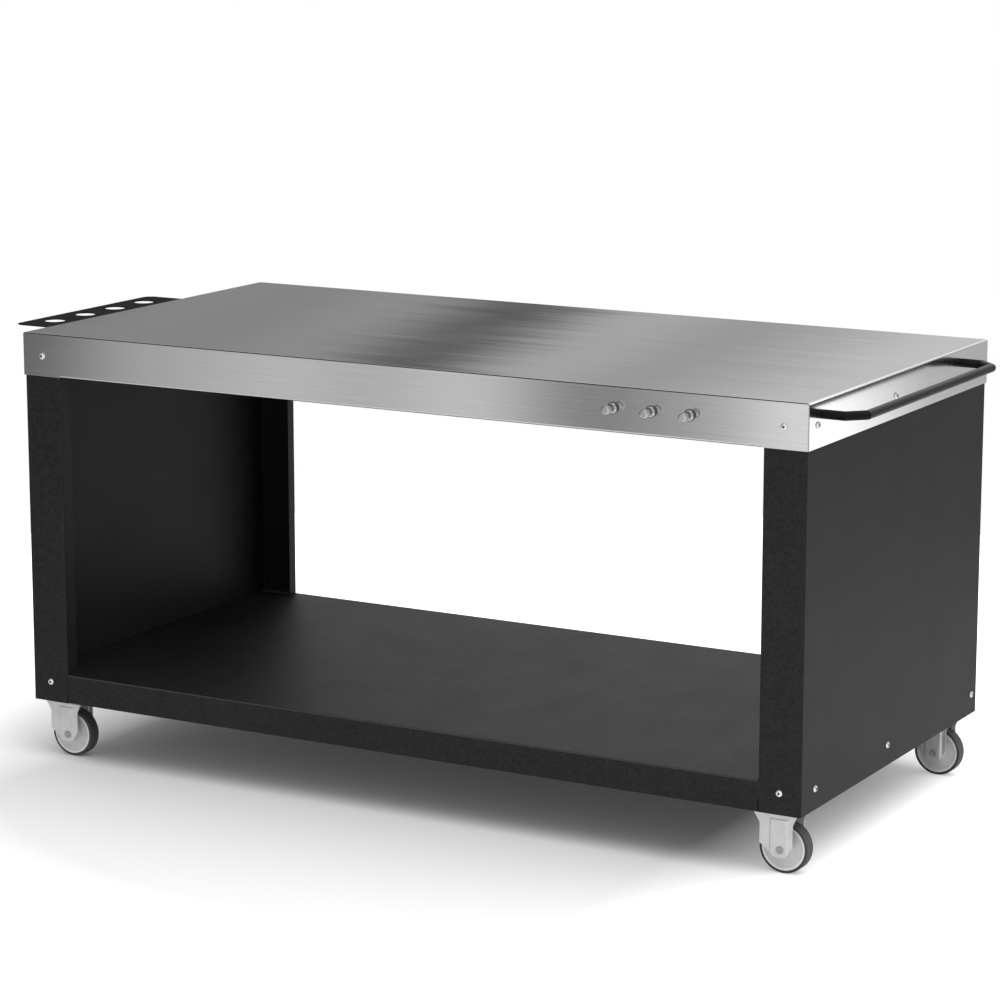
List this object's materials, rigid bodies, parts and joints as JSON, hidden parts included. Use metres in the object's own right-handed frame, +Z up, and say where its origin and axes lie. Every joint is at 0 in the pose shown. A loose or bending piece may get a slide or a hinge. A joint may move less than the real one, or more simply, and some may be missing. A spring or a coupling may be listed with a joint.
{
  "type": "outdoor oven table",
  "caption": "Rolling steel table for an outdoor oven: stainless worktop with folded aprons, black side casings, low shelf, swivel castors, push handle, tool rack and hook pegs.",
  "frame": {"origin": "on the floor, under the middle of the worktop", "axes": "+X along the length towards the push handle, +Y towards the back, +Z up"},
  "size_m": [1.8075, 0.8334, 0.82],
  "materials": {
    "stainless": "brushed along the length",
    "stainless_turned": "turned, satin",
    "black_coat": "fine textured powder coat",
    "black_tube": "satin powder coat",
    "galvanised": "galvanised sheet",
    "zinc": "bright zinc plate",
    "bright_steel": "polished",
    "grey_plastic": "moulded, satin",
    "tread_rubber": "matt",
    "nylon": "moulded"
  },
  "bodies": {
    "root": {"worktop": "stainless", "shelf": "black_coat", "side_casing_left": "black_coat", "side_casing_right": "black_coat", "base_channel_left": "galvanised", "base_channel_right": "galvanised", "top_stiffener_front": "galvanised", "top_stiffener_middle": "galvanised", "top_stiffener_rear": "galvanised", "shelf_stiffener_front": "black_coat", "shelf_stiffener_rear": "black_coat", "apron_screws": "bright_steel", "apron_nuts": "zinc", "casing_screws": "bright_steel", "casing_nuts": "zinc", "hook_peg_1": "stainless_turned", "hook_peg_2": "stainless_turned", "hook_peg_3": "stainless_turned", "hook_peg_nuts": "zinc", "handle_bar": "black_tube", "handle_end_plugs": "zinc", "handle_backing_plates": "galvanised", "handle_bolts": "zinc", "tool_rack": "black_coat", "tool_rack_screws": "bright_steel", "tool_rack_nuts": "zinc", "castor_stem_nuts": "zinc", "castor_front_left_top_cap": "zinc", "castor_front_left_kingpin": "zinc", "castor_front_left_balls": "bright_steel", "castor_front_right_top_cap": "zinc", "castor_front_right_kingpin": "zinc", "castor_front_right_balls": "bright_steel", "castor_rear_left_top_cap": "zinc", "castor_rear_left_kingpin": "zinc", "castor_rear_left_balls": "bright_steel", "castor_rear_right_top_cap": "zinc", "castor_rear_right_kingpin": "zinc", "castor_rear_right_balls": "bright_steel"},
    "castor_swivel_front_left": {"castor_front_left_fork": "zinc", "castor_front_left_bush": "nylon", "castor_front_left_axle": "zinc"},
    "castor_wheel_front_left": {"castor_front_left_wheel": "grey_plastic", "castor_front_left_tyre": "tread_rubber"},
    "castor_swivel_front_right": {"castor_front_right_fork": "zinc", "castor_front_right_bush": "nylon", "castor_front_right_axle": "zinc"},
    "castor_wheel_front_right": {"castor_front_right_wheel": "grey_plastic", "castor_front_right_tyre": "tread_rubber"},
    "castor_swivel_rear_left": {"castor_rear_left_fork": "zinc", "castor_rear_left_bush": "nylon", "castor_rear_left_axle": "zinc"},
    "castor_wheel_rear_left": {"castor_rear_left_wheel": "grey_plastic", "castor_rear_left_tyre": "tread_rubber"},
    "castor_swivel_rear_right": {"castor_rear_right_fork": "zinc", "castor_rear_right_bush": "nylon", "castor_rear_right_axle": "zinc"},
    "castor_wheel_rear_right": {"castor_rear_right_wheel": "grey_plastic", "castor_rear_right_tyre": "tread_rubber"}
  },
  "joints": [
    {"name": "swivel_front_left", "type": "hinge", "parent": "root", "child": "castor_swivel_front_left", "pos_m": [-0.752, -0.344, 0.1], "axis": [0, 0, 1], "continuous": true},
    {"name": "roll_front_left", "type": "hinge", "parent": "castor_swivel_front_left", "child": "castor_wheel_front_left", "pos_m": [-0.742, -0.344, 0.045], "axis": [0, 1, 0], "continuous": true},
    {"name": "swivel_front_right", "type": "hinge", "parent": "root", "child": "castor_swivel_front_right", "pos_m": [0.738, -0.344, 0.1], "axis": [0, 0, 1], "continuous": true},
    {"name": "roll_front_right", "type": "hinge", "parent": "castor_swivel_front_right", "child": "castor_wheel_front_right", "pos_m": [0.748, -0.344, 0.045], "axis": [0, 1, 0], "continuous": true},
    {"name": "swivel_rear_left", "type": "hinge", "parent": "root", "child": "castor_swivel_rear_left", "pos_m": [-0.752, 0.344, 0.1], "axis": [0, 0, 1], "continuous": true},
    {"name": "roll_rear_left", "type": "hinge", "parent": "castor_swivel_rear_left", "child": "castor_wheel_rear_left", "pos_m": [-0.742, 0.344, 0.045], "axis": [0, 1, 0], "continuous": true},
    {"name": "swivel_rear_right", "type": "hinge", "parent": "root", "child": "castor_swivel_rear_right", "pos_m": [0.738, 0.344, 0.1], "axis": [0, 0, 1], "continuous": true},
    {"name": "roll_rear_right", "type": "hinge", "parent": "castor_swivel_rear_right", "child": "castor_wheel_rear_right", "pos_m": [0.748, 0.344, 0.045], "axis": [0, 1, 0], "continuous": true}
  ]
}
